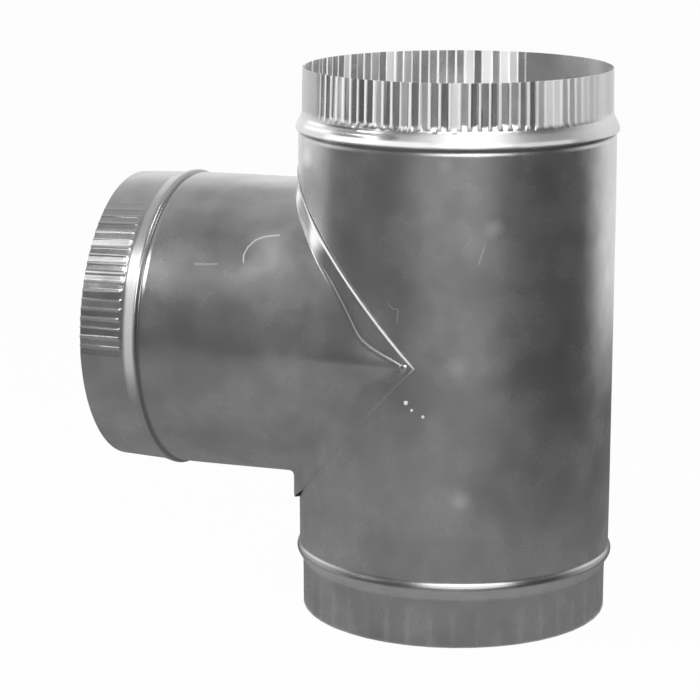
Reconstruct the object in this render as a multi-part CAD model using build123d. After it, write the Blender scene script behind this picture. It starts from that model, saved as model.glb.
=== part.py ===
from build123d import *
import math
import os

# Round sheet-metal duct tee, in millimetres.
# The run stands upright on its lower rim: its axis is Z, and that rim lies in the plane Z = 0.
# The branch leaves the run a little above half its height, towards -X.

# Sheet, and the duct that the run is made for
sheet = 0.6
duct_bore = 203.2
slip_clearance = 1.6        # room, on the radius, between a run collar and the duct pushed over it

# Run pipe, with angles from +X towards +Y
run_height = 355.6
run_seam_angle = 44.0
run_plain_arc = 68.0        # the crimps leave out this arc, with the seam in its middle

# Branch pipe, with angles from the front (-Y) over the top
branch_relief = 4.5         # how much smaller the branch is than the run, on the radius
branch_reach = 224.3        # run axis to branch rim
branch_height = 180.0       # lower rim to branch axis
branch_collar_draw = 0.2    # how much smaller the collar is than its pipe, on the radius
branch_seam_angle = 180.0
branch_plain_angle = -45.0
branch_plain_arc = 80.0     # the crimps leave out this arc, on the lower front

# Collars and beads, the same on each end
collar_length = 31.5        # rim to the start of the bead
bead_ramp = 7.5             # long side of the bead, towards the collar
bead_step = 3.5             # short side of the bead, towards the pipe
bead_proud = 1.8            # crest above the pipe

# Crimps
crimp_length = 26.5
crimp_run_out = 4.0         # last part of a crimp, where its groove comes up to the collar
crimp_pitch = 6.15
crimp_depth = 1.8
crimp_draw = 0.5            # how far crimping draws the rim in, on the radius
ridge_width = 1.6
flank_width = 1.0

# Lock seams: a folded strip that stands out from the pipe
seam_width = 8.0
seam_proud = 1.2
seam_bead_gap = 2.0         # the strip ends this far from a bead

# Saddle flange, lying on the run round the branch
flange_tip_reach = 5.0      # the two tips reach this far past the run's axis
flange_edge_slope = 47.0    # slope of the flange's edges, seen from the front

# Rivets through the flange and the run's wall
rivet_shank_radius = 1.6
rivet_head_radius = 2.8
rivet_head_height = 1.2
rivet_tail_radius = 2.4
rivet_tail_height = 0.8
rivet_hole_clearance = 0.05
rivet_tip_setback = 7.5     # flange tip to rivet centre

# Worked out from the sizes above
run_radius = duct_bore / 2 + sheet
run_collar_radius = duct_bore / 2 - slip_clearance
branch_radius = run_radius - branch_relief
branch_collar_radius = branch_radius - branch_collar_draw
branch_bore = branch_radius - sheet
flange_radius = run_radius + sheet
riveted_stack = 2 * sheet       # flange and run wall, under a rivet's head
pipe_inset = collar_length + bead_ramp + bead_step          # rim to the start of the plain pipe
branch_place = Pos(0, 0, branch_height) * Rot(0, -90, 0)    # turns a pipe built along Z towards -X


def end_lines(pipe_radius, collar_radius, rim, inward, start):
    """The outside line of a pipe's end, collar then bead, in the plane of radius and height.

    The collar begins at a distance start from the rim, and inward is 1 or -1, the way from rim to pipe.
    """
    bead_start = rim + inward * collar_length
    crest = bead_start + inward * bead_ramp
    bead_end = crest + inward * bead_step
    along = (0, inward)
    collar = Line((collar_radius, rim + inward * start), (collar_radius, bead_start))
    bead_points = [(collar_radius, bead_start), (pipe_radius + bead_proud, crest), (pipe_radius, bead_end)]
    bead = Spline(bead_points, tangents=[along, along, along])
    return [collar, bead]


def turned_wall(outside, first, last):
    """A wall of sheet turned about Z, from its outside line and the two end points of that line."""
    inward = Vector(-sheet, 0)
    inside = [edge.moved(Location(inward)) for edge in outside]
    caps = [Line(point, Vector(*point) + inward) for point in (first, last)]
    section = make_face([*outside, *inside, *caps])
    return revolve(Plane.XZ * section, Axis.Z)


def crimp_corners(radius, depth, skin, count, plain_angle, plain_arc):
    """The corners of a crimped skin, as radius and angle: ridges, with grooves a depth further in.

    The skin is 0 for the outside of the sheet and its thickness for the inside, where the corners are
    shifted so that the sloping flanks keep the sheet's thickness.
    """
    pitch = 360 / count
    corner_shift = skin * math.tan(math.atan2(crimp_depth, flank_width) / 2)
    degrees_per_length = math.degrees(1 / radius)
    ridge_half = (ridge_width / 2 - corner_shift) * degrees_per_length
    groove_half = pitch / 2 - (ridge_width / 2 + flank_width - corner_shift) * degrees_per_length
    ridge = radius - skin
    groove = ridge - depth
    corners = []
    for index in range(count):
        from_plain = (index + 0.5) * pitch
        middle = plain_angle + from_plain
        if min(from_plain, 360 - from_plain) < plain_arc / 2:
            corners.append((ridge, middle))
            continue
        corners.append((ridge, middle - pitch / 2 + ridge_half))
        corners.append((groove, middle - groove_half))
        corners.append((groove, middle + groove_half))
        corners.append((ridge, middle + pitch / 2 - ridge_half))
    return corners


def straight_ring(corners, height):
    """A closed outline at a height, with straight lines from corner to corner."""
    return Wire.make_polygon([Vector(r, 0, height).rotate(Axis.Z, angle) for r, angle in corners])


def round_ring(corners, height):
    """A circle at a height, divided at the corners."""
    starts = [angle for _, angle in corners]
    stops = [*starts[1:], starts[0] + 360]
    radius = corners[0][0]
    level = Plane((0, 0, height))
    return Wire([Edge.make_circle(radius, level, start, stop) for start, stop in zip(starts, stops)])


def crimped_band(collar_radius, rim, plain_angle, plain_arc):
    """The crimped part of a collar that points up, from its rim to the plain collar."""
    count = round(2 * math.pi * collar_radius / crimp_pitch)
    end = rim - crimp_length
    full_depth = end + crimp_run_out
    low_rings = []
    high_rings = []
    faces = []
    for skin in (0, sheet):
        plain = crimp_corners(collar_radius, 0, skin, count, plain_angle, plain_arc)
        crimped = crimp_corners(collar_radius - crimp_draw, crimp_depth, skin, count, plain_angle, plain_arc)
        rings = [round_ring(plain, end), straight_ring(crimped, full_depth), straight_ring(crimped, rim)]
        low_rings.append(rings[0])
        high_rings.append(rings[-1])
        faces += Solid.make_loft(rings, ruled=True).faces().filter_by(Axis.Z, reverse=True)
    for outside, inside in (low_rings, high_rings):
        faces.append(Face(outside, [inside]))
    return Solid(Shell(faces))


def seam_strip(pipe_radius, angle, low, high):
    """A lock seam along a pipe on Z, sunk half a sheet into its wall."""
    depth = sheet / 2 + seam_proud
    strip = Box(depth, seam_width, high - low, align=(Align.MIN, Align.CENTER, Align.MIN))
    return Rot(0, 0, angle) * Pos(pipe_radius - sheet / 2, 0, low) * strip


def round_bar(radius, low, high):
    """A solid bar on Z."""
    return Pos(0, 0, low) * Cylinder(radius, high - low, align=(Align.CENTER, Align.CENTER, Align.MIN))


def rivet_places():
    """The middle of each rivet on the flange's outside, with X pointing out of the run."""
    tip_angle = math.degrees(math.acos((flange_tip_reach - rivet_tip_setback) / flange_radius))
    crown_edge = (flange_radius + flange_tip_reach) * math.tan(math.radians(flange_edge_slope))
    crown = (branch_radius + crown_edge) / 2
    spots = [(-tip_angle, 0), (tip_angle, 0), (180, crown), (180, -crown)]
    return [Pos(0, 0, branch_height + up) * Rot(0, 0, angle) * Pos(flange_radius, 0, 0) for angle, up in spots]


def rivet_holes():
    """Bars that cut the rivets' holes through the flange and the run's wall."""
    radius = rivet_shank_radius + rivet_hole_clearance
    bar = Rot(0, 90, 0) * round_bar(radius, -2 * riveted_stack, riveted_stack)
    return [place * bar for place in rivet_places()]


def run_pipe():
    """The upright pipe: a plain collar below, a crimped one on top, and the branch's hole."""
    low_end = end_lines(run_radius, run_collar_radius, 0, 1, 0)
    high_end = end_lines(run_radius, run_collar_radius, run_height, -1, crimp_length)
    plain = Line((run_radius, pipe_inset), (run_radius, run_height - pipe_inset))
    ends = [(run_collar_radius, 0), (run_collar_radius, run_height - crimp_length)]
    pipe = turned_wall([*low_end, plain, *high_end], *ends)
    seam_low = pipe_inset + seam_bead_gap
    seam_high = run_height - pipe_inset - seam_bead_gap
    pipe += seam_strip(run_radius, run_seam_angle, seam_low, seam_high)
    pipe -= branch_place * round_bar(branch_bore, 0, branch_reach)
    pipe -= rivet_holes()
    pipe += crimped_band(run_collar_radius, run_height, run_seam_angle, run_plain_arc)
    return pipe


def branch_pipe():
    """The side pipe with its saddle flange, cut to the outside of the run."""
    pipe_end = branch_reach - pipe_inset
    from_front = -90        # a pipe built along Z has its top on X, so its front is a quarter turn back
    body = round_bar(branch_radius, 0, pipe_end)
    seam_end = pipe_end - seam_bead_gap
    body += seam_strip(branch_radius, branch_seam_angle + from_front, 0, seam_end)
    body = branch_place * body

    flange_back = 2 * flange_radius
    half_height = (flange_back + flange_tip_reach) * math.tan(math.radians(flange_edge_slope))
    side_view = Polyline(
        (flange_tip_reach, 0), (-flange_back, half_height), (-flange_back, -half_height), close=True
    )
    wedge = extrude(Plane.XZ * make_face(side_view), flange_back, both=True)
    flange = round_bar(flange_radius, -run_height, run_height) & wedge
    body += Pos(0, 0, branch_height) * flange

    body -= round_bar(run_radius, -run_height, 2 * run_height)
    body -= branch_place * round_bar(branch_bore, 0, branch_reach)
    body -= rivet_holes()

    end = end_lines(branch_radius, branch_collar_radius, branch_reach, -1, crimp_length)
    line_ends = [(branch_collar_radius, branch_reach - crimp_length), (branch_radius, pipe_end)]
    collar = turned_wall(end, *line_ends)
    plain_angle = branch_plain_angle + from_front
    collar += crimped_band(branch_collar_radius, branch_reach, plain_angle, branch_plain_arc)
    return body + branch_place * collar


def saddle_rivets():
    """Round-headed rivets at the flange's two tips and at its top and bottom, with flattened tails inside."""
    wall_bow = rivet_tail_radius**2 / (2 * (run_radius - sheet))
    tail_seat = -riveted_stack - wall_bow
    tail_end = tail_seat - rivet_tail_height
    outline = Polyline(
        (0, tail_end),
        (rivet_tail_radius, tail_end),
        (rivet_tail_radius, tail_seat),
        (rivet_shank_radius, tail_seat),
        (rivet_shank_radius, 0),
        (rivet_head_radius, 0),
    )
    dome_radius = (rivet_head_radius**2 + rivet_head_height**2) / (2 * rivet_head_height)
    dome = RadiusArc(outline @ 1, (0, rivet_head_height), -dome_radius)
    axis_line = Line((0, rivet_head_height), (0, tail_end))
    rivet = revolve(Plane.XZ * make_face([*outline.edges(), dome, axis_line]), Axis.Z)
    return Compound([place * Rot(0, 90, 0) * rivet for place in rivet_places()])


os.makedirs("parts", exist_ok=True)
export_step(run_pipe(), "parts/run_pipe.step")
export_step(branch_pipe(), "parts/branch_pipe.step")
export_step(saddle_rivets(), "parts/saddle_rivets.step")
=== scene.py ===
import math

import bmesh
import bpy
import numpy as np
from mathutils import Matrix, Vector


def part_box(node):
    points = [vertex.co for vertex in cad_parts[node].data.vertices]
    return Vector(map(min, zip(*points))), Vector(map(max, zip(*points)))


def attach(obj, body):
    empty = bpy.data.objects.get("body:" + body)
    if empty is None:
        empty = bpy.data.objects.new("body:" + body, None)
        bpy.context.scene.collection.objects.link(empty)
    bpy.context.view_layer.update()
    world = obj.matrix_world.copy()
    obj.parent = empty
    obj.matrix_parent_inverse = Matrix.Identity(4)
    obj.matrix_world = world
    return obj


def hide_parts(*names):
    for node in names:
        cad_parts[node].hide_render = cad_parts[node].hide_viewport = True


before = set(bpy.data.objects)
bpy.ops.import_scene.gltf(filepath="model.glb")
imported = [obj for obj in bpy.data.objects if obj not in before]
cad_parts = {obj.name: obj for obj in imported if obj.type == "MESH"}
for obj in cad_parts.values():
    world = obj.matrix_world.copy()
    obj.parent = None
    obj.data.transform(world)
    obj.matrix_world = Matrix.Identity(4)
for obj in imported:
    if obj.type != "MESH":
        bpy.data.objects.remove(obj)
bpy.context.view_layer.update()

scene = bpy.context.scene
mm = 0.001


# Run pipe: the upright pipe of the tee, rolled from one sheet of galvanised steel and closed by a lock seam.
# A bead is rolled in near each end. The collar above the upper bead is crimped to slip into a duct, and
# the lower collar only shows faint marks of the crimping rollers.
sheet = 0.6 * mm
run_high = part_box("run_pipe")[1]
run_height = run_high[2]
bead_proud = 1.8 * mm
run_radius = run_high[0] - bead_proud
run_collar_draw = 2.2 * mm
run_collar_radius = run_radius - run_collar_draw
upper_ramp_inset = 29.3 * mm
lower_ramp_inset = 31.5 * mm
ramp_straight = 0.75
bead_inset = 39.0 * mm
bead_step = 2.2 * mm
bead_groove = 0.42 * mm
groove_width = 3.2 * mm
lower_bead_step = 5.2 * mm
crimp_length = 29.5 * mm
crimp_run_out = 3.4 * mm
crimp_depth = 1.3 * mm
crimp_draw = 0.6 * mm
crimp_pitch = 6.15 * mm
columns_per_crimp = 12
finer_columns = 4
ripple_angle = 238.0
ripple_arc = 60.0
ripple_depth = 0.9 * mm
ripple_pitch = 4.6 * mm
ripple_start = 29.0 * mm
ripple_end = 38.5 * mm
ripple_edge = 2.0 * mm
seam_width = 8.0 * mm
seam_proud = 1.2 * mm
seam_inset = 44.5 * mm
seam_lip = 0.4 * mm
seam_side = 0.15 * mm       # half the width of a seam's steep side
sharp_fold = math.radians(28)
run_seam_angle = 44.0
run_plain_arc = 68.0
zinc_dark = (0.50, 0.50, 0.50, 1.0)
zinc_light = (0.75, 0.75, 0.75, 1.0)
# colour of scratches and of painted highlights, and colour of painted shade
scratch_and_highlight_zinc = (0.95, 0.95, 0.95, 1.0)
painted_shade_zinc = (0.34, 0.34, 0.34, 1.0)
zinc_metallic = 0.91
# metallic under scratches and painted highlights, which paints them as white diffuse zinc
scratch_and_highlight_metallic = 0.15
zinc_roughness = 0.21
scratch_and_highlight_roughness = 0.2   # added to it under scratches and painted highlights
patch_roughness = 0.10
grain_roughness = 0.01
cloud_scale = 16.0
cloud_share = 0.62
cloud_edge = (0.32, 0.68)
patch_scale = 45.0
patch_share = 0.36
patch_edge = (0.3, 0.7)
patch_swell = 0.12
grain_scale = 700.0
grain_share = 0.02
swell_scale = 14.0
swell_height = 1.0 * mm
# Scratches, seen from the front: the points of each in mm, strength
scratches = [
    ([(-116.4, 235.5), (-117.3, 239.5), (-115.8, 244.0), (-112.0, 248.2), (-106.5, 250.4), (-97.0, 251.6)], 0.6),
    ([(-148.7, 232.6), (-133.8, 233.4)], 0.2),
    ([(45.2, 256.5), (43.4, 250.5), (42.3, 246.3)], 0.2),
    ([(-13.0, 219.5), (-9.6, 216.6), (-6.3, 216.9), (-6.9, 209.3)], 0.12),
]
scratch_width = 0.7 * mm
scratch_core = 0.3 * scratch_width
# Painted highlights on the upper bead, and painted shade where the strength is below 0: first and last angle, distance
# in from the rim, width in mm, strength
painted_bead_streaks = [
    (231, 281, 37.0, 1.2, 1.0),
    (304, 334, 37.4, 1.0, 0.8),
    (214, 236, 31.4, 0.9, 0.9),
    (214, 240, 34.4, 0.8, 0.9),
    (236, 268, 33.6, 1.6, -0.8),
]
streak_fade = 8.0               # degrees over which a painted streak fades out
# Painted highlights in spots, seen from the front: place and radius in mm, strength
painted_highlight_spots = [
    ((33.2, 97.1), 9.0, 0.35),
    ((30.0, 182.0), 11.0, 0.3),
    ((22.0, 306.0), 7.0, 0.3),
    ((50.0, 268.5), 8.0, 0.3),
    ((-79.0, 302.0), 9.0, 1.0),
    ((-100.0, 242.0), 26.0, 0.35),
]
front_depth = 20.0 * mm     # marks seen from the front fade in over this depth, from the middle
# Drops of zinc, seen from the front: place and radius in mm. Each is painted white all over, a painted highlight.
zinc_drops = [(-0.8, 158.1, 1.4), (2.9, 153.7, 0.9), (10.1, 150.0, 1.0)]


class Wire:
    """One output in a node tree. Operators on it add Math nodes, and node() adds any other node."""

    def __init__(self, tree, output=None):
        self.tree = tree
        self.output = output

    def node(self, kind, settings=None, values=None, output=0):
        made = self.tree.nodes.new(kind)
        for name, setting in (settings or {}).items():
            setattr(made, name, setting)
        for key, value in (values or {}).items():
            self.feed(made.inputs[key], value)
        return Wire(self.tree, made.outputs[output])

    def feed(self, socket, value):
        if isinstance(value, Wire):
            self.tree.links.new(value.output, socket)
        else:
            socket.default_value = value

    def math(self, operation, *values):
        return self.node("ShaderNodeMath", {"operation": operation}, dict(enumerate(values)))

    def vector_math(self, operation, *values, output=0):
        return self.node("ShaderNodeVectorMath", {"operation": operation}, dict(enumerate(values)), output)

    def smooth(self, low, high):
        """0 at low, 1 at high, and a smooth change between them."""
        values = {"Value": self, "From Min": low, "From Max": high}
        return self.node("ShaderNodeMapRange", {"interpolation_type": "SMOOTHSTEP"}, values)

    def straight(self, low, high):
        """0 at low, 1 at high, and a straight change between them."""
        return self.node("ShaderNodeMapRange", None, {"Value": self, "From Min": low, "From Max": high})

    def blend(self, low, high):
        """The colour low where this is 0, and high where it is 1."""
        return self.node("ShaderNodeMix", {"data_type": "RGBA"}, {0: self, 6: low, 7: high}, 2)

    def noise(self, scale, detail):
        """Soft noise over a place."""
        return self.node("ShaderNodeTexNoise", None, {"Vector": self, "Scale": scale, "Detail": detail})

    def dot(self, vector):
        """How far a place lies along a vector."""
        return self.vector_math("DOT_PRODUCT", self, tuple(vector), output="Value")

    def parts(self):
        """The three parts of a vector."""
        return [self.node("ShaderNodeSeparateXYZ", None, {"Vector": self}, axis) for axis in range(3)]

    def __add__(self, other):
        return self.math("ADD", self, other)

    def __sub__(self, other):
        return self.math("SUBTRACT", self, other)

    def __rsub__(self, other):
        return self.math("SUBTRACT", other, self)

    def __mul__(self, other):
        return self.math("MULTIPLY", self, other)

    def __truediv__(self, other):
        return self.math("DIVIDE", self, other)

    __radd__ = __add__
    __rmul__ = __mul__


def scratch(place, points):
    """How near a place is to a line of points, seen from the front: 1 on the line and 0 beside it."""
    nearest = None
    for (x, z), (end_x, end_z) in zip(points, points[1:]):
        start = Vector((x, 0, z)) * mm
        line = Vector((end_x, 0, end_z)) * mm - start
        offset = place.vector_math("SUBTRACT", place, tuple(start))
        share = place.node("ShaderNodeClamp", None, {"Value": offset.dot(line / line.length_squared)})
        foot = place.node("ShaderNodeVectorMath", {"operation": "SCALE"}, {0: tuple(line), "Scale": share})
        away = place.vector_math("DISTANCE", offset, foot, output="Value")
        nearest = away if nearest is None else place.math("MINIMUM", nearest, away)
    return nearest.smooth(scratch_width, scratch_core)


def galvanised():
    """Dull zinc in soft clouds, on sheet that is never quite flat, with scratches, painted highlights and painted
    shade.
    """
    material = bpy.data.materials.new("galvanised_sheet")
    material.use_nodes = True
    shader = material.node_tree.nodes["Principled BSDF"]
    surface = Wire(material.node_tree)
    place = surface.node("ShaderNodeTexCoord", output="Object")
    cloud = place.noise(cloud_scale, 3.0)
    patch = place.noise(patch_scale, 2.0)
    grain = place.noise(grain_scale, 2.0)
    mix = cloud_share * cloud.smooth(*cloud_edge) + patch_share * patch.smooth(*patch_edge) + grain_share * grain
    # a point attribute holds painted light: painted highlights above 0 and painted shade below 0
    burnish = surface.node("ShaderNodeAttribute", {"attribute_name": "burnish"}, None, "Fac")
    zinc = burnish.smooth(0.0, -1.0).blend(mix.blend(zinc_dark, zinc_light), painted_shade_zinc)
    shine = burnish.smooth(0.0, 1.0)
    x, y, z = place.parts()
    front = y.smooth(0.0, -front_depth)
    flat_place = surface.node("ShaderNodeCombineXYZ", None, {"X": x, "Z": z})
    for points, strength in scratches:
        shine = surface.math("MAXIMUM", shine, strength * front * scratch(flat_place, points))
    # painted highlights in spots on the front
    for (spot_x, spot_z), radius, strength in painted_highlight_spots:
        away = surface.vector_math("DISTANCE", flat_place, (spot_x * mm, 0.0, spot_z * mm), output="Value")
        shine = surface.math("MAXIMUM", shine, strength * front * patch * away.smooth(radius * mm, 0.0))
    uneven = patch_roughness * patch + grain_roughness * grain
    dullness = zinc_roughness + uneven + scratch_and_highlight_roughness * shine
    height = place.noise(swell_scale, 2.0) + patch_swell * patch
    waves = surface.node("ShaderNodeBump", None, {"Strength": 1.0, "Distance": swell_height, "Height": height})
    surface.feed(shader.inputs["Metallic"], zinc_metallic - (zinc_metallic - scratch_and_highlight_metallic) * shine)
    surface.feed(shader.inputs["Base Color"], shine.blend(zinc, scratch_and_highlight_zinc))
    surface.feed(shader.inputs["Roughness"], dullness)
    surface.feed(shader.inputs["Normal"], waves)
    return material


def ease(share):
    """0 below 0, 1 above 1, and a smooth change between them."""
    share = np.clip(share, 0, 1)
    return share * share * (3 - 2 * share)


def end_line(inset, ramp_inset, collar_radius, pipe_radius, step_width=bead_step, groove=bead_groove):
    """Outside radius of a pipe's end at distances in from its rim.

    It goes over the collar, the bead and the groove beside the bead.
    """
    climb = np.clip((inset - ramp_inset) / (bead_inset - ramp_inset), 0, 1)
    slope = 2 / (1 + ramp_straight)
    rounded = 1 - slope * (1 - climb) ** 2 / (2 * (1 - ramp_straight))
    ramp = np.where(climb < ramp_straight, slope * climb, rounded)
    step = ease((inset - bead_inset) / step_width)
    back_up = ease((inset - bead_inset - step_width) / groove_width)
    rise = (pipe_radius + bead_proud - collar_radius) * ramp
    return collar_radius + rise - (bead_proud + groove) * step + groove * back_up


def round_rows(radius, turn, height):
    """Rows of points round Z."""
    radius = radius * np.ones((len(height), len(turn)))
    return np.stack([radius * np.cos(turn), radius * np.sin(turn), height[:, None] * np.ones(len(turn))], -1)


def seam_turns(turn, angle, radius):
    """Moves the columns beside a lock seam to its edges, so that it has a crisp outline."""
    turn = turn.copy()
    for side in (-1, 1):
        edge = math.radians(angle) + side * seam_width / 2 / radius
        nearest = np.argsort(np.abs(turn - edge))[:2]
        turn[np.sort(nearest)] = edge - seam_side / radius, edge + seam_side / radius
    return turn


def skin(name, bands):
    """An object of one skin, from bands of rows of points that each go once round a pipe.

    A band may have a whole number of times as many columns as the one before it.
    """
    faces = []
    first = 0
    last_row = []
    for band in bands:
        rows, columns, _ = band.shape
        index = first + np.arange(rows * columns).reshape(rows, columns)
        times = columns // max(len(last_row), 1)
        row = index[0].tolist()
        for column, point in enumerate(last_row):
            beside = last_row[(column + 1) % len(last_row)]
            faces.append((point, beside, *[row[(column * times + step) % columns] for step in range(times, -1, -1)]))
        beside = np.roll(index, -1, axis=1)
        faces += np.stack([index[:-1], beside[:-1], beside[1:], index[1:]], axis=-1).reshape(-1, 4).tolist()
        last_row = index[-1].tolist()
        first += rows * columns
    mesh = bpy.data.meshes.new(name)
    mesh.from_pydata(np.concatenate([band.reshape(-1, 3) for band in bands]).tolist(), [], faces)
    made = bpy.data.objects.new(name, mesh)
    scene.collection.objects.link(made)
    return made


def new_tree(name, inputs, output):
    """A Geometry Nodes tree, from the name and kind of each input and the name of its output.

    With it come its inputs as wires, by their names.
    """
    tree = bpy.data.node_groups.new(name, "GeometryNodeTree")
    for socket_name, kind in inputs:
        tree.interface.new_socket(socket_name, in_out="INPUT", socket_type="NodeSocket" + kind)
    tree.interface.new_socket(output, in_out="OUTPUT", socket_type="NodeSocketGeometry")
    entry = tree.nodes.new("NodeGroupInput")
    return tree, {socket.name: Wire(tree, socket) for socket in entry.outputs if socket.name}


def end_tree(field, geometry, finish, output):
    """Ends a tree: its geometry made real, with its finish, goes to the output."""
    realized = field.node("GeometryNodeRealizeInstances", None, {"Geometry": geometry})
    finished = field.node("GeometryNodeSetMaterial", None, {"Geometry": realized, "Material": finish})
    field.feed(field.tree.nodes.new("NodeGroupOutput").inputs[output], finished)


def crimping_rollers():
    """A tree that presses grooves into a collar round Z, each a little out of place, as hand crimping leaves them.

    Turns are counted in whole turns from the middle of the plain arc, and distances from the rim. It also stores
    painted highlights and painted shade in a point attribute: lighter crimp ridges, groove floors lighter or darker at
    random, light fading to shade beside the plain arc, shade in the skipped arc, and light along the bead.
    """
    length_scatter = 0.7 * mm
    place_scatter = 0.05
    tilt_scatter = 1.5
    depth_scatter = (0.7, 1.1)
    groove_light_scatter = (-0.4, 0.72)
    groove_edge = (0.41, 0.31)
    crimp_end_width = 0.6
    inner_depth = 0.65
    plain_edge = (-0.004, 0.012)
    fade_start = 0.35
    fading_reach = (1.1, 0.4)
    fading_edge = 0.01
    waviness_scale = 28.0
    rolled_end = (60 * mm, 40 * mm)
    bead_light_band = (29 * mm, 33 * mm, 38 * mm, 39.5 * mm)
    bead_shade_band = (39.3 * mm, 40.2 * mm, 41.2 * mm, 42.6 * mm)
    bead_light_core = 0.25
    groove_shade_reach = (0.16, 0.04)
    groove_shade_floor = 0.5
    faded_bright = 0.8
    faded_fall = 1.4
    faded_end = (0.09, 0.03)
    skip_shade = 0.6
    sizes = (
        "Rim", "Side", "Length", "Run-out", "Depth", "Draw", "Waviness", "Crimp light", "Plain light", "Bead",
        "Bead middle", "Bead spread", "Crimps", "Plain middle", "Plain arc", "Fade", "Skip middle", "Skip arc",
        "Skip edge",
    )
    inputs = [("Pipe", "Geometry"), *[(name, "Float") for name in sizes], ("Seed", "Int"), ("Finish", "Material")]
    tree, size = new_tree("crimping", inputs, "Pipe")
    field = Wire(tree)
    place = field.node("GeometryNodeInputPosition")
    x, y, z = place.parts()
    turn = field.math("FRACT", field.math("ARCTAN2", y, x) / math.tau - size["Plain middle"])
    along = turn * size["Crimps"]
    number = field.math("FLOOR", along)

    def chance(low, high, offset):
        values = {2: low, 3: high, "ID": number, "Seed": size["Seed"] + offset}
        return field.node("FunctionNodeRandomValue", None, values, 1)

    def turns_from(middle):
        """The short way round to a middle, in turns."""
        apart = field.math("FRACT", turn + size["Plain middle"] - middle)
        return field.math("MINIMUM", apart, 1 - apart)

    def band(start, full_from, full_to, stop):
        """1 between two distances from the rim, and 0 outside two wider ones."""
        return from_rim.smooth(start, full_from) * from_rim.smooth(stop, full_to)

    from_rim = (size["Rim"] - z) * size["Side"]
    toward_rim = field.math("MAXIMUM", 1 - from_rim / size["Length"], 0.0)
    length = size["Length"] + chance(-length_scatter, length_scatter, 1)
    pressed = from_rim.straight(length, length - size["Run-out"])
    phase = along - number - 0.5 - chance(-place_scatter, place_scatter, 2)
    narrowing = crimp_end_width + (1 - crimp_end_width) * pressed
    groove = (field.math("ABSOLUTE", phase) / narrowing).smooth(*groove_edge)
    floor_tilt = 1.0 + phase * chance(-tilt_scatter, tilt_scatter, 3)
    plain_half = size["Plain arc"] * 0.5
    skip_half = size["Skip arc"] * 0.5
    from_plain = 1 - turn - plain_half
    from_skip = turns_from(size["Skip middle"])
    off_plain = field.math("MINIMUM", turn, 1 - turn).smooth(plain_half + plain_edge[0], plain_half + plain_edge[1])
    rolled_in = from_plain.smooth(fade_start * size["Fade"] + plain_edge[0], size["Fade"] + plain_edge[1])
    off_skip = from_skip.smooth(skip_half - size["Skip edge"], skip_half + size["Skip edge"])
    crimped = pressed * (off_plain * rolled_in) * off_skip
    uneven = size["Depth"] * chance(*depth_scatter, 4)
    depth = uneven * floor_tilt * (inner_depth + (1 - inner_depth) * toward_rim)
    rolled = from_rim.smooth(*rolled_end)
    wave = size["Waviness"] * place.noise(waviness_scale, 1.0)
    push = depth * groove * crimped + size["Draw"] * toward_rim + wave * rolled
    # painted highlights on the crimp ridges; groove floors get painted light or shade at random, and more painted shade
    # near the skipped arc
    groove_shade_side = size["Plain light"] * from_skip.smooth(*groove_shade_reach)
    groove_shade = groove * (1 + groove_shade_floor * groove_shade_side - chance(*groove_light_scatter, 5))
    bright_crimps = size["Crimp light"] * crimped * (1 - groove_shade)
    # painted highlight along the bead
    bead_light = size["Bead"] * turns_from(size["Bead middle"]).smooth(size["Bead spread"], bead_light_core * size["Bead spread"])
    painted = field.node("GeometryNodeInputNamedAttribute", {"data_type": "FLOAT"}, {"Name": "burnish"})
    # painted highlight where the crimps fade out beside the plain arc, turning to painted shade nearer it, and painted
    # shade in the skipped arc
    fading = from_plain.smooth(fading_reach[0] * size["Fade"] + fading_edge, fading_reach[1] * size["Fade"])
    faded = off_plain * fading * (faded_bright - faded_fall * from_plain.smooth(*faded_end))
    bright_plain = size["Plain light"] * pressed * (faded - skip_shade * (1 - off_skip))
    # painted shade in the groove beside the bead
    burnish = bright_crimps + bright_plain + bead_light * band(*bead_light_band) - band(*bead_shade_band) + painted
    outward = field.vector_math("NORMALIZE", field.node("ShaderNodeCombineXYZ", None, {"X": x, "Y": y}))
    offset = field.node("ShaderNodeVectorMath", {"operation": "SCALE"}, {0: outward, "Scale": -1 * push})
    moved = field.node("GeometryNodeSetPosition", None, {"Geometry": size["Pipe"], "Offset": offset})
    values = {"Geometry": moved, "Selection": rolled, "Name": "burnish", "Value": burnish}
    marked = field.node("GeometryNodeStoreNamedAttribute", {"data_type": "FLOAT", "domain": "POINT"}, values)
    end_tree(field, marked, size["Finish"], "Pipe")
    return tree


def apply_tree(piece, tree, values):
    """Adds a tree to a piece, with its values by the names of its inputs."""
    modifier = piece.modifiers.new(tree.name, "NODES")
    modifier.node_group = tree
    for item in tree.interface.items_tree:
        if item.name in values:
            modifier[item.identifier] = values[item.name]


def thicken(pipe):
    """Gives a skin the sheet's thickness, inwards."""
    wall = pipe.modifiers.new("sheet", "SOLIDIFY")
    wall.thickness = sheet
    wall.offset = -1.0


def settle(piece, material):
    """Makes the shape that a piece's modifiers give its own mesh."""
    evaluated = piece.evaluated_get(bpy.context.evaluated_depsgraph_get())
    mesh = bpy.data.meshes.new_from_object(evaluated)
    piece.modifiers.clear()
    piece.data = mesh
    mesh.materials.clear()
    mesh.materials.append(material)
    mesh.polygons.foreach_set("material_index", np.zeros(len(mesh.polygons), np.int32))
    mesh.shade_smooth()
    mesh.set_sharp_from_angle(angle=sharp_fold)


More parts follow.
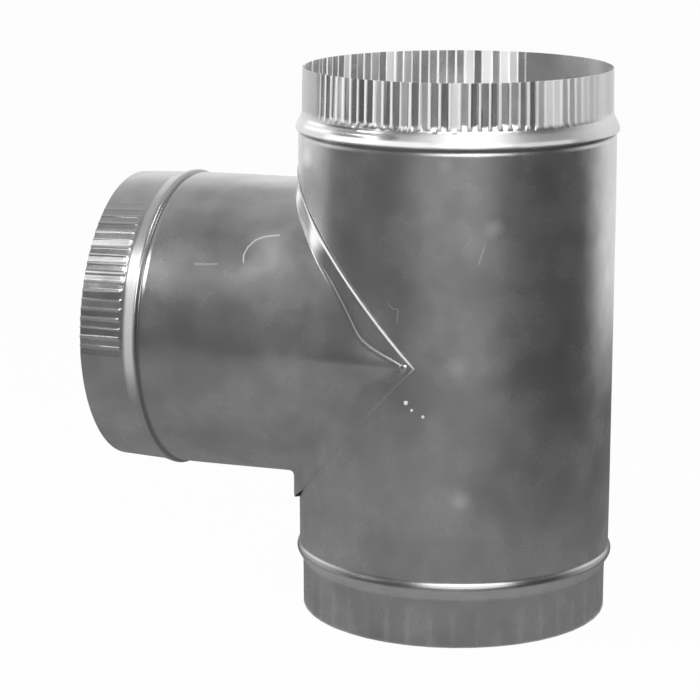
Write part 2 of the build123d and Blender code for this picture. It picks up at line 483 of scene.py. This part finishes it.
zinc_finish = galvanised()
rollers = crimping_rollers()
run_crimps = round(math.tau * run_collar_radius / crimp_pitch)
run_turn = np.linspace(0, math.tau, run_crimps * columns_per_crimp // finer_columns, endpoint=False)
run_turn = seam_turns(run_turn, run_seam_angle, run_radius)
crimp_turn = np.linspace(0, math.tau, run_crimps * columns_per_crimp, endpoint=False)
crimp_inset = mm * np.array([
    31.2, 30.4, 29.8, 29.2, 28.6, 28, 27.2, 26.4, 25.4, 24.4, 23.4, 21, 18, 14, 9, 4.5, 0,
])
bead_first_row = 32.2 * mm
bead_rows = np.concatenate([
    np.linspace(bead_first_row, bead_inset, 8)[:-1],
    bead_inset + bead_step * np.linspace(0, 1, 7)[:-1],
    bead_inset + bead_step + groove_width * np.linspace(0, 1, 7),
])
collar_rows = np.array([0.02, 5, 10, 14, 18, 21, 24, 27, 30]) * mm
low_rows = np.concatenate([collar_rows, bead_rows])
seam_ends = (seam_inset, run_height - seam_inset)
barrel = np.linspace(seam_ends[0] + seam_lip, seam_ends[1] - seam_lip, 8)
barrel = np.concatenate([seam_ends[:1], barrel, seam_ends[1:]])
run_z = np.concatenate([low_rows, barrel, run_height - bead_rows[::-1]])
low_r = end_line(run_z, lower_ramp_inset, run_collar_radius, run_radius, lower_bead_step, 0.0)
high_r = end_line(run_height - run_z, upper_ramp_inset, run_collar_radius, run_radius)
run_r = np.where(run_z < run_height / 2, low_r, high_r)
seam_columns = np.abs(run_turn - math.radians(run_seam_angle)) * run_radius < seam_width / 2
seam_rows = (run_z > seam_ends[0] + seam_lip / 2) & (run_z < seam_ends[1] - seam_lip / 2)


def ripple(inset, turn):
    """Two shallow ripples in the upper bead, on one side, where the rollers were set down."""
    near = ease(1 - np.abs(turn - math.radians(ripple_angle)) / math.radians(ripple_arc / 2))
    rows = ease((inset - ripple_start) / ripple_edge) * ease((ripple_end - inset) / ripple_edge)
    waves = 0.5 - 0.5 * np.cos(math.tau * (inset - ripple_start) / ripple_pitch)
    return ripple_depth * (rows * waves)[:, None] * near


run_skin_r = run_r[:, None] + seam_proud * (seam_rows[:, None] & seam_columns)
run_skin_r = run_skin_r - ripple(run_height - run_z, run_turn)
crimp_r = end_line(crimp_inset, upper_ramp_inset, run_collar_radius, run_radius)[:, None]
crimp_r = crimp_r - ripple(crimp_inset, crimp_turn)
run_pipe = skin("run_sheet", [
    round_rows(run_skin_r, run_turn, run_z), round_rows(crimp_r, crimp_turn, run_height - crimp_inset)
])


def streaks(inset, turn):
    """Painted highlights on the upper bead, and painted shade where the strength is below 0, in lines between two
    angles.
    """
    streak_light = 0.0
    for start, stop, middle, width, strength in painted_bead_streaks:
        along = ease((np.degrees(turn) - start) / streak_fade) * ease((stop - np.degrees(turn)) / streak_fade)
        streak_light = streak_light + strength * np.exp(-(((inset / mm - middle) / width) ** 2))[:, None] * along
    return streak_light


# painted highlights and painted shade along the upper bead
painted = [streaks(run_height - run_z, run_turn), streaks(crimp_inset, crimp_turn)]
painted = np.concatenate([rows.ravel() for rows in painted])
run_pipe.data.attributes.new("burnish", "FLOAT", "POINT").data.foreach_set("value", painted)
plain_middle = run_seam_angle / 360
# upper end: painted highlights on crimp ridges and the bead, painted light and shade in grooves and beside the plain
# arc
apply_tree(run_pipe, rollers, {
    "Rim": run_height, "Side": 1.0, "Length": crimp_length, "Run-out": crimp_run_out, "Depth": crimp_depth,
    "Draw": crimp_draw, "Waviness": 0.5 * mm, "Crimp light": 1.0, "Plain light": 1.0,
    "Bead": 0.4, "Bead spread": 2.0, "Crimps": run_crimps,
    "Plain middle": plain_middle, "Plain arc": run_plain_arc / 360, "Fade": 0.15, "Skip middle": -145.0 / 360,
    "Skip arc": 24.0 / 360, "Skip edge": 0.008, "Seed": 3, "Finish": zinc_finish,
})
# lower end: faint crimps with faint painted highlights on them and along the bead
apply_tree(run_pipe, rollers, {
    "Rim": 0.0, "Side": -1.0, "Length": 30.0 * mm, "Run-out": 9.0 * mm, "Depth": 0.15 * mm,
    "Draw": 0.1 * mm, "Waviness": 0.4 * mm, "Crimp light": 0.16, "Bead": 0.3, "Bead spread": 2.0, "Crimps": 43.0,
    "Plain middle": plain_middle, "Skip edge": 0.001, "Skip arc": -0.01, "Seed": 11, "Finish": zinc_finish,
})
thicken(run_pipe)

branch_low, branch_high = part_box("branch_pipe")
branch_height = (branch_low[2] + branch_high[2]) / 2
branch_reach = -branch_low[0]
branch_relief = 4.5 * mm
branch_radius = run_radius - branch_relief
to_branch = Matrix.Translation((0, 0, branch_height)) @ Matrix.Rotation(math.radians(-90), 4, "Y")
bore_sides = 240
bore_angle = np.linspace(0, math.tau, bore_sides, endpoint=False)
bore_radius = branch_radius - sheet
bore_ring = np.stack([bore_radius * np.cos(bore_angle), bore_radius * np.sin(bore_angle)], -1)
bore_points = [(*point, height) for height in (0.0, branch_reach) for point in bore_ring.tolist()]
bore_faces = [(i, (i + 1) % bore_sides, bore_sides + (i + 1) % bore_sides, bore_sides + i) for i in range(bore_sides)]
bore_faces += [tuple(range(bore_sides - 1, -1, -1)), tuple(range(bore_sides, 2 * bore_sides))]
bore_mesh = bpy.data.meshes.new("branch_bore")
bore_mesh.from_pydata(bore_points, [], bore_faces)
bore_mesh.transform(to_branch)
bore = bpy.data.objects.new("branch_bore", bore_mesh)
scene.collection.objects.link(bore)
hole = run_pipe.modifiers.new("branch hole", "BOOLEAN")
hole.operation = "DIFFERENCE"
hole.solver = "EXACT"
hole.object = bore
settle(run_pipe, zinc_finish)
bpy.data.objects.remove(bore)

drops = bmesh.new()
drops.from_mesh(run_pipe.data)
bright = drops.verts.layers.float["burnish"]
for drop_x, drop_z, radius in zinc_drops:
    place = Vector((drop_x * mm, -math.sqrt(run_radius**2 - (drop_x * mm) ** 2), drop_z * mm))
    shape = Matrix.Translation(place) @ Matrix.Scale(radius * mm, 4)
    drop = bmesh.ops.create_uvsphere(drops, u_segments=16, v_segments=10, radius=1.0, matrix=shape)
    for vert in drop["verts"]:
        # each drop is painted white all over, a painted highlight
        vert[bright] = 1.0
        for face in vert.link_faces:
            face.smooth = True
drops.to_mesh(run_pipe.data)
drops.free()
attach(run_pipe, "root")
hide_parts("run_pipe")


# Branch pipe: the side pipe, rolled from galvanised sheet, with a bead and a crimped collar at its free end.
# Its other end is turned out into a flange that lies on the run, cut to a long point at the front and the back.
branch_collar_draw = 0.2 * mm
branch_collar_radius = branch_radius - branch_collar_draw
branch_ramp_inset = 31.0 * mm
branch_crimp_length = 29.3 * mm
branch_plain_middle = -135.0
branch_plain_arc = 80.0
branch_seam_angle = 90.0
flange_radius = run_radius + sheet + 0.05 * mm
flange_tip = branch_high[0]
flange_crown = branch_high[2] - branch_height
edge_slope = flange_crown / (flange_radius + flange_tip)
fold_reach = 1.5 * mm
lower_fold_reach = 4.0 * mm
fold_rib = 0.35 * mm
fold_rib_width = 2.0 * mm
lip_height = 0.7 * mm
lower_lip_height = 0.06 * mm
lower_edge_sunk = 0.5 * mm
lip_width = 2.4 * mm
lip_lean = 0.6              # below 1, the lip's crest lies nearer the edge
lip_start = 26.0
lip_full = 52.0
# how light the fold rib is painted where the lip is, a painted highlight
rib_shine = 0.4
sprung = 3.0 * mm
sprung_start = 4.0          # the flange springs off the run between these angles from the branch's side
sprung_full = 16.0
sprung_fall = 22.0
sprung_stop = 36.0
sprung_drop = 60.0 * mm
# Puckers in the upper flange: angle, spread in degrees, height. Each is also painted lighter, a painted highlight.
puckers = [(49.0, 4.5, 3.8 * mm), (31.0, 3.5, 2.2 * mm)]
nose = 5.0 * mm
nose_start = 65.0 * mm
nose_end = 25.0 * mm
nose_sharpness = 180
lip_rows = 8
# rows of the upper lip painted lighter, a painted highlight
bright_lip_rows = 5
flat_rows = 4
rib_rows = 6
fold_rows = 5
tube_rows = 7

branch_crimps = round(math.tau * branch_collar_radius / crimp_pitch)
branch_columns = branch_crimps * columns_per_crimp // finer_columns
branch_angle = np.linspace(0, math.tau, branch_columns, endpoint=False)
branch_angle = seam_turns(branch_angle, branch_seam_angle, branch_radius)
up = np.cos(branch_angle)
across = np.sin(branch_angle)


def tube(out):
    """Points of the tube at distances out from the run's axis.

    A small nose is drawn out to each point of the flange.
    """
    drawn = ease((nose_start - out) / (nose_start - nose_end))
    half_width = branch_radius + nose * np.abs(across) ** nose_sharpness * drawn
    return np.stack([branch_radius * up, half_width * across, out * np.ones_like(up)], -1)


def on_run(turn, rise, radius):
    """Points on the run's outside, by angle round the run from the branch's side, and height over its axis.

    Between the rivet below and the points, the flange has sprung away from the run a little.
    """
    off_rivet = np.degrees(np.abs(turn))
    starts = ease((off_rivet - sprung_start) / (sprung_full - sprung_start))
    stops = ease((sprung_stop - off_rivet) / (sprung_stop - sprung_fall))
    radius = radius + sprung * starts * stops * ease(-rise / sprung_drop)
    return np.stack([rise, radius * np.sin(turn), radius * np.cos(turn)], -1)


fold_guess = 50.0 * mm
fold_rounds = 12
fold_out = np.full(branch_columns, fold_guess)
for _ in range(fold_rounds):
    fold_out = np.sqrt(flange_radius**2 - tube(fold_out)[:, 1] ** 2)
fold = tube(fold_out)
fold_turn = np.arctan2(fold[:, 1], fold[:, 2])
fold = on_run(fold_turn, fold[:, 0], flange_radius)
fold_out = fold[:, 2]
tip_turn = math.acos(-flange_tip / flange_radius)
edge_turn = fold_turn * tip_turn / np.abs(fold_turn).max()
edge_rise = np.sign(up) * (flange_radius * np.cos(edge_turn) + flange_tip) * edge_slope
edge_rise[np.abs(up) < 1e-9] = 0.0
flange_width = np.hypot((edge_turn - fold_turn) * flange_radius, edge_rise - fold[:, 0])


def flange(inwards, proud):
    """Points of the flange at a distance in from its edge, standing proud of its flat."""
    share = np.clip(inwards / flange_width, 0, 1)
    turn = edge_turn + (fold_turn - edge_turn) * share
    rise = edge_rise + (fold[:, 0] - edge_rise) * share
    for angle, spread, height in puckers:
        near = np.exp(-(((np.degrees(turn) + angle) / spread) ** 2))
        proud = proud + height * near * (rise > 0) * np.sin(math.pi * share)
    return on_run(turn, rise, flange_radius + proud)


upper_blend = 0.1
upper = ease(0.5 + up / upper_blend)
lipped = upper * ease((np.degrees(np.abs(edge_turn)) - lip_start) / (lip_full - lip_start))
lip = lower_lip_height + (lip_height - lower_lip_height) * lipped
reach = lower_fold_reach + (fold_reach - lower_fold_reach) * upper
branch_rows = [flange(0.0, -lower_edge_sunk * (1 - lipped))]
for share in np.linspace(0, 1, lip_rows + 1)[1:]:
    sunk = lower_edge_sunk * (1 - lipped) * (1 - share) ** 2
    branch_rows.append(flange(lip_width * share, lip * math.sin(math.pi * share**lip_lean) - sunk))
flat_width = flange_width - reach - fold_rib_width
for share in np.linspace(0, 1, flat_rows + 1)[1:]:
    branch_rows.append(flange(lip_width + (flat_width - lip_width) * share, 0.0))
for share in np.linspace(0, 1, rib_rows + 1)[1:]:
    rib_proud = fold_rib * upper * math.sin(math.pi * share) ** 2
    branch_rows.append(flange(flat_width + fold_rib_width * share, rib_proud))
fold_foot = branch_rows[-1]
fold_head = tube(fold_out + reach)
for share in np.linspace(0, 1, fold_rows + 1)[1:]:
    branch_rows.append((1 - share) ** 2 * fold_foot + 2 * share * (1 - share) * fold + share**2 * fold_head)
seam_end = branch_reach - seam_inset
tube_start = fold_out + reach
for share in np.linspace(0, 1, tube_rows + 2)[1:-1]:
    branch_rows.append(tube(tube_start + (seam_end - tube_start) * share))
seam_columns = np.abs(branch_angle - math.radians(branch_seam_angle)) * branch_radius < seam_width / 2
for row in branch_rows[-tube_rows:]:
    row[:, 1] += seam_proud * seam_columns
branch_rows.append(tube(np.full(branch_columns, seam_end)))
bead_r = end_line(bead_rows[::-1], branch_ramp_inset, branch_collar_radius, branch_radius)[:, None]
branch_bead = round_rows(bead_r, branch_angle, branch_reach - bead_rows[::-1])
crimp_turn = np.linspace(0, math.tau, branch_crimps * columns_per_crimp, endpoint=False)
crimp_r = end_line(crimp_inset, branch_ramp_inset, branch_collar_radius, branch_radius)[:, None]
branch_collar = round_rows(crimp_r, crimp_turn, branch_reach - crimp_inset)
branch_pipe = skin("branch_sheet", [np.concatenate([np.array(branch_rows), branch_bead]), branch_collar])
flange_rows = 1 + lip_rows + flat_rows + rib_rows
# painted highlights on the flange: on the puckers, the upper lip and the fold rib
flange_light = np.zeros(len(branch_pipe.data.vertices))
edge_degrees = np.degrees(edge_turn)
pucker_light = sum(np.exp(-(((edge_degrees + angle) / spread) ** 2)) for angle, spread, _ in puckers) * (up > 0)
flange_light[: flange_rows * branch_columns] = np.tile(pucker_light, flange_rows)
flange_light[: bright_lip_rows * branch_columns] = np.tile(lipped, bright_lip_rows)
rib_first = flange_rows - rib_rows + 1
rib_last = flange_rows - 1
rib = slice(rib_first * branch_columns, rib_last * branch_columns)
flange_light[rib] = np.tile(np.maximum(pucker_light, rib_shine * lipped), rib_last - rib_first)
branch_pipe.data.attributes.new("burnish", "FLOAT", "POINT").data.foreach_set("value", flange_light)
# branch end: painted highlights on the crimps and along the bead's left side, painted shade in grooves
apply_tree(branch_pipe, rollers, {
    "Rim": branch_reach, "Side": 1.0, "Length": branch_crimp_length, "Run-out": 2.5 * mm, "Depth": 0.8 * mm,
    "Draw": 1.2 * mm, "Waviness": 0.5 * mm, "Crimp light": 0.25, "Bead": 0.55, "Bead middle": -80.0 / 360,
    "Bead spread": 0.12, "Crimps": branch_crimps,
    "Plain middle": branch_plain_middle / 360, "Plain arc": branch_plain_arc / 360, "Skip middle": 5.0 / 360,
    "Skip arc": 85.0 / 360, "Skip edge": 0.035, "Seed": 7, "Finish": zinc_finish,
})
thicken(branch_pipe)
settle(branch_pipe, zinc_finish)
branch_pipe.data.transform(to_branch)
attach(branch_pipe, "root")
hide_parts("branch_pipe")


# Saddle rivets: four small plated steel rivets that hold the flange to the run's wall, one at each point of the
# flange and one each at its top and bottom. Each has a domed head outside and a flattened tail inside.
rivet_head_radius = 2.8 * mm
rivet_head_height = 1.15 * mm
rivet_shank_radius = 1.6 * mm
rivet_tail_radius = 2.4 * mm
rivet_tail_height = 0.8 * mm
rivet_setback = 7.5 * mm
rivet_sides = 24
riveted_stack = 2 * sheet + 0.1 * mm
rivet_bright = (0.90, 0.90, 0.90, 1.0)
rivet_worn = (0.72, 0.72, 0.72, 1.0)
rivet_roughness = 0.18
worn_roughness = 0.2        # added to it where the plating is worn
wear_scale = 900.0
wear_edge = (0.4, 0.65)
dome_steps = 7


def plated():
    """Bright plating, worn in small spots."""
    material = bpy.data.materials.new("rivet_steel")
    material.use_nodes = True
    shader = material.node_tree.nodes["Principled BSDF"]
    surface = Wire(material.node_tree)
    place = surface.node("ShaderNodeTexCoord", output="Object")
    wear = place.noise(wear_scale, 3.0).smooth(*wear_edge)
    surface.feed(shader.inputs["Metallic"], 1.0)
    surface.feed(shader.inputs["Base Color"], wear.blend(rivet_bright, rivet_worn))
    surface.feed(shader.inputs["Roughness"], rivet_roughness + worn_roughness * wear)
    return material


def rivet_mesh():
    """One rivet on Z, its head resting on the plane Z = 0."""
    dome = np.linspace(0, math.pi / 2, dome_steps)
    line = [(rivet_head_radius * math.cos(t), rivet_head_height * math.sin(t)) for t in dome[:-1]]
    tail_seat = -riveted_stack
    tail_end = tail_seat - rivet_tail_height
    under = [(rivet_tail_radius, tail_end), (rivet_tail_radius, tail_seat), (rivet_shank_radius, tail_seat)]
    line = [*under, (rivet_shank_radius, 0.0), *line]
    turn = np.linspace(0, math.tau, rivet_sides, endpoint=False)
    points = [(r * math.cos(t), r * math.sin(t), h) for r, h in line for t in turn]
    faces = []
    for row in range(len(line) - 1):
        for side in range(rivet_sides):
            beside = (side + 1) % rivet_sides
            low, high = row * rivet_sides, (row + 1) * rivet_sides
            faces.append((low + side, low + beside, high + beside, high + side))
    top = (len(line) - 1) * rivet_sides
    faces.append(tuple(range(top, top + rivet_sides)))
    faces.append(tuple(range(rivet_sides - 1, -1, -1)))
    mesh = bpy.data.meshes.new("rivet")
    mesh.from_pydata(points, [], faces)
    return mesh


def riveting():
    """A tree that sets a rivet on each point of a mesh, standing out of the run."""
    inputs = [("Places", "Geometry"), ("Rivet", "Object"), ("Finish", "Material")]
    tree, size = new_tree("riveting", inputs, "Rivets")
    field = Wire(tree)
    x, y, _ = field.node("GeometryNodeInputPosition").parts()
    outward = field.node("ShaderNodeCombineXYZ", None, {"X": x, "Y": y})
    stand = field.node("FunctionNodeAlignRotationToVector", {"axis": "Z"}, {"Vector": outward})
    shape = field.node("GeometryNodeObjectInfo", None, {"Object": size["Rivet"]}, "Geometry")
    values = {"Points": size["Places"], "Instance": shape, "Rotation": stand}
    end_tree(field, field.node("GeometryNodeInstanceOnPoints", None, values), size["Finish"], "Rivets")
    return tree


plating = plated()
rivet = bpy.data.objects.new("rivet", rivet_mesh())
scene.collection.objects.link(rivet)
front = math.acos((flange_tip - rivet_setback) / flange_radius)
crown_rise = (branch_radius + flange_crown) / 2
rivet_spots = [(-front, 0.0), (front, 0.0), (math.pi, crown_rise), (math.pi, -crown_rise)]
rivet_places = [
    (flange_radius * math.cos(turn), flange_radius * math.sin(turn), branch_height + rise) for turn, rise in rivet_spots
]
place_mesh = bpy.data.meshes.new("saddle_rivets")
place_mesh.from_pydata(rivet_places, [], [])
rivets = bpy.data.objects.new("flange_rivets", place_mesh)
scene.collection.objects.link(rivets)
apply_tree(rivets, riveting(), {"Rivet": rivet, "Finish": plating})
settle(rivets, plating)
bpy.data.objects.remove(rivet)
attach(rivets, "root")
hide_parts("saddle_rivets")


# Studio: a white floor that runs out to a white distance, in a dim room that the metal shows as its greys.
# An oval soft box stands above the camera and two smaller ones at the left, and a small lamp hangs over the
# upper opening. None of them shows in the picture.
camera_yaw = math.radians(19.162)
camera_pitch = math.radians(12.66)
camera_distance = 1627.6 * mm
aim_across = -68.832 * mm
aim_height = 170.0 * mm
focal_pixels = 2490.9
frame_pixels = 700
sensor = 36.0
side_level = 0.062
front_level = 0.27
high_level = 0.16
back_level = 0.42
ground_level = 0.21
floor_glow = 0.97
front_turn = math.radians(-3.0)
front_edge = 0.76           # how squarely a direction faces the camera where the grey in front begins
side_fall = 0.02            # how much dimmer it gets towards the right
room_white = (0.3, -0.4)
room_top = (0.3, 0.75)
room_back = (0.1, -0.5)
floor_half = 40.0
floor_back = (-0.08, -0.68)
floor_white = (0.55, 1.25)
floor_near = (0.4, 0.95)
floor_skew = 0.2
opening_lamp_size = 0.12
opening_lamp_power = 0.25
opening_lamp_height = 0.1
opening_lamp_forward = 0.03


def toward(yaw, pitch):
    """The direction out of the tee at a yaw from the front, towards the right, and a pitch above level."""
    level = math.cos(pitch)
    return Vector((math.sin(yaw) * level, -math.cos(yaw) * level, math.sin(pitch)))


back = toward(camera_yaw, camera_pitch)
right = Vector((math.cos(camera_yaw), math.sin(camera_yaw), 0.0))
above = back.cross(right)
toward_camera = toward(camera_yaw, 0.0)
front_light = toward(camera_yaw + front_turn, 0.0)
camera = bpy.data.objects.new("camera", bpy.data.cameras.new("camera"))
scene.collection.objects.link(camera)
camera.data.sensor_width = sensor
camera.data.lens = focal_pixels * sensor / frame_pixels
axes = Matrix((right, above, back)).transposed().to_4x4()
stand = aim_across * right + Vector((0, 0, aim_height)) + camera_distance * back
camera.matrix_world = Matrix.Translation(stand) @ axes
scene.camera = camera

world = bpy.data.worlds.new("studio")
world.use_nodes = True
scene.world = world
air = Wire(world.node_tree)


def studio_light(direction, white_from, white_to, distance):
    """How light the studio is in a level direction.

    It is dim at the sides, grey at the camera, and far behind the tee white.
    """
    side = side_level - side_fall * direction.dot(right)
    ahead = direction.dot(front_light).smooth(front_edge, 1.0)
    white = direction.dot(toward_camera).smooth(white_from, white_to) * distance
    return side + (front_level - side_level) * ahead + (1 - side) * white


direction = air.node("ShaderNodeTexCoord", output="Generated")
low = studio_light(direction, *room_white, 1.0)
high = direction.parts()[2].smooth(*room_top)
dome = high_level + (back_level - high_level) * direction.dot(toward_camera).smooth(*room_back)
seen = air.node("ShaderNodeLightPath", output="Is Camera Ray")
background = world.node_tree.nodes["Background"]
air.feed(background.inputs["Color"], (1.0, 1.0, 1.0, 1.0))
air.feed(background.inputs["Strength"], seen + (1 - seen) * (low + (dome - low) * high))

floor_mesh = bpy.data.meshes.new("floor")
floor_corners = [(floor_half * x, floor_half * y, 0) for x, y in ((-1, -1), (1, -1), (1, 1), (-1, 1))]
floor_mesh.from_pydata(floor_corners, [], [(0, 1, 2, 3)])
floor = bpy.data.objects.new("floor", floor_mesh)
scene.collection.objects.link(floor)
floor_finish = bpy.data.materials.new("floor")
floor_finish.use_nodes = True
floor_nodes = floor_finish.node_tree
floor_nodes.nodes.clear()
ground = Wire(floor_nodes)
spot = ground.node("ShaderNodeTexCoord", output="Object")
from_axis = ground.vector_math("LENGTH", spot, output="Value")
far = studio_light(ground.vector_math("NORMALIZE", spot), *floor_back, from_axis.smooth(*floor_white))
aside = spot.dot(right) / from_axis
near = ground_level - side_fall * aside
outside = near + (far - near) * (from_axis + floor_skew * aside).smooth(*floor_near)
inside = from_axis.smooth(run_radius, 0.95 * run_radius)
floor_light = outside + (1 - outside) * inside
seen = ground.node("ShaderNodeLightPath", output="Is Camera Ray")
mirrored = ground.node("ShaderNodeLightPath", output="Is Glossy Ray")
through = ground.node("ShaderNodeLightPath", output="Is Transmission Ray")
glow = ground.node("ShaderNodeEmission", None, {"Strength": seen + through + mirrored * floor_light})
paint = ground.node("ShaderNodeBsdfDiffuse", None, {"Color": (0.8, 0.8, 0.8, 1.0)})
share = floor_glow * (seen + through) + mirrored
surface = ground.node("ShaderNodeMixShader", None, {0: share, 1: paint, 2: glow})
ground.feed(floor_nodes.nodes.new("ShaderNodeOutputMaterial").inputs["Surface"], surface)
floor_mesh.materials.append(floor_finish)


def soft_box(name, azimuth, elevation, distance, width, height, level, mirrored):
    """A soft box facing the tee, with its azimuth counted from the camera, towards the right."""
    box = bpy.data.lights.new(name, "AREA")
    box.shape = "ELLIPSE"
    box.size = width
    box.size_y = height
    box.energy = level * math.pi * math.pi / 4 * width * height
    lamp = bpy.data.objects.new(name, box)
    scene.collection.objects.link(lamp)
    away = toward(camera_yaw + math.radians(azimuth), math.radians(elevation))
    centre = Vector((0, 0, run_height / 2))
    lamp.location = centre + distance * away
    lamp.rotation_euler = away.to_track_quat("Z", "Y").to_euler()
    lamp.visible_camera = False
    lamp.visible_glossy = mirrored


box_distance = 1.4
soft_box("key_box", 7.0, 32.0, box_distance, width=1.7, height=0.85, level=2.6, mirrored=True)
soft_box("left_box", -80.0, 30.0, box_distance, width=0.9, height=0.7, level=5.0, mirrored=False)
soft_box("edge_box", -76.0, 32.0, box_distance, width=0.45, height=0.4, level=5.0, mirrored=True)

bowl = bpy.data.lights.new("opening_lamp", "AREA")
bowl.shape = "DISK"
bowl.size = opening_lamp_size
bowl.energy = opening_lamp_power
opening_lamp = bpy.data.objects.new("opening_lamp", bowl)
scene.collection.objects.link(opening_lamp)
opening_lamp.location = Vector((0, 0, run_height + opening_lamp_height)) + opening_lamp_forward * toward_camera
opening_lamp.visible_camera = False

scene.view_settings.view_transform = "Standard"
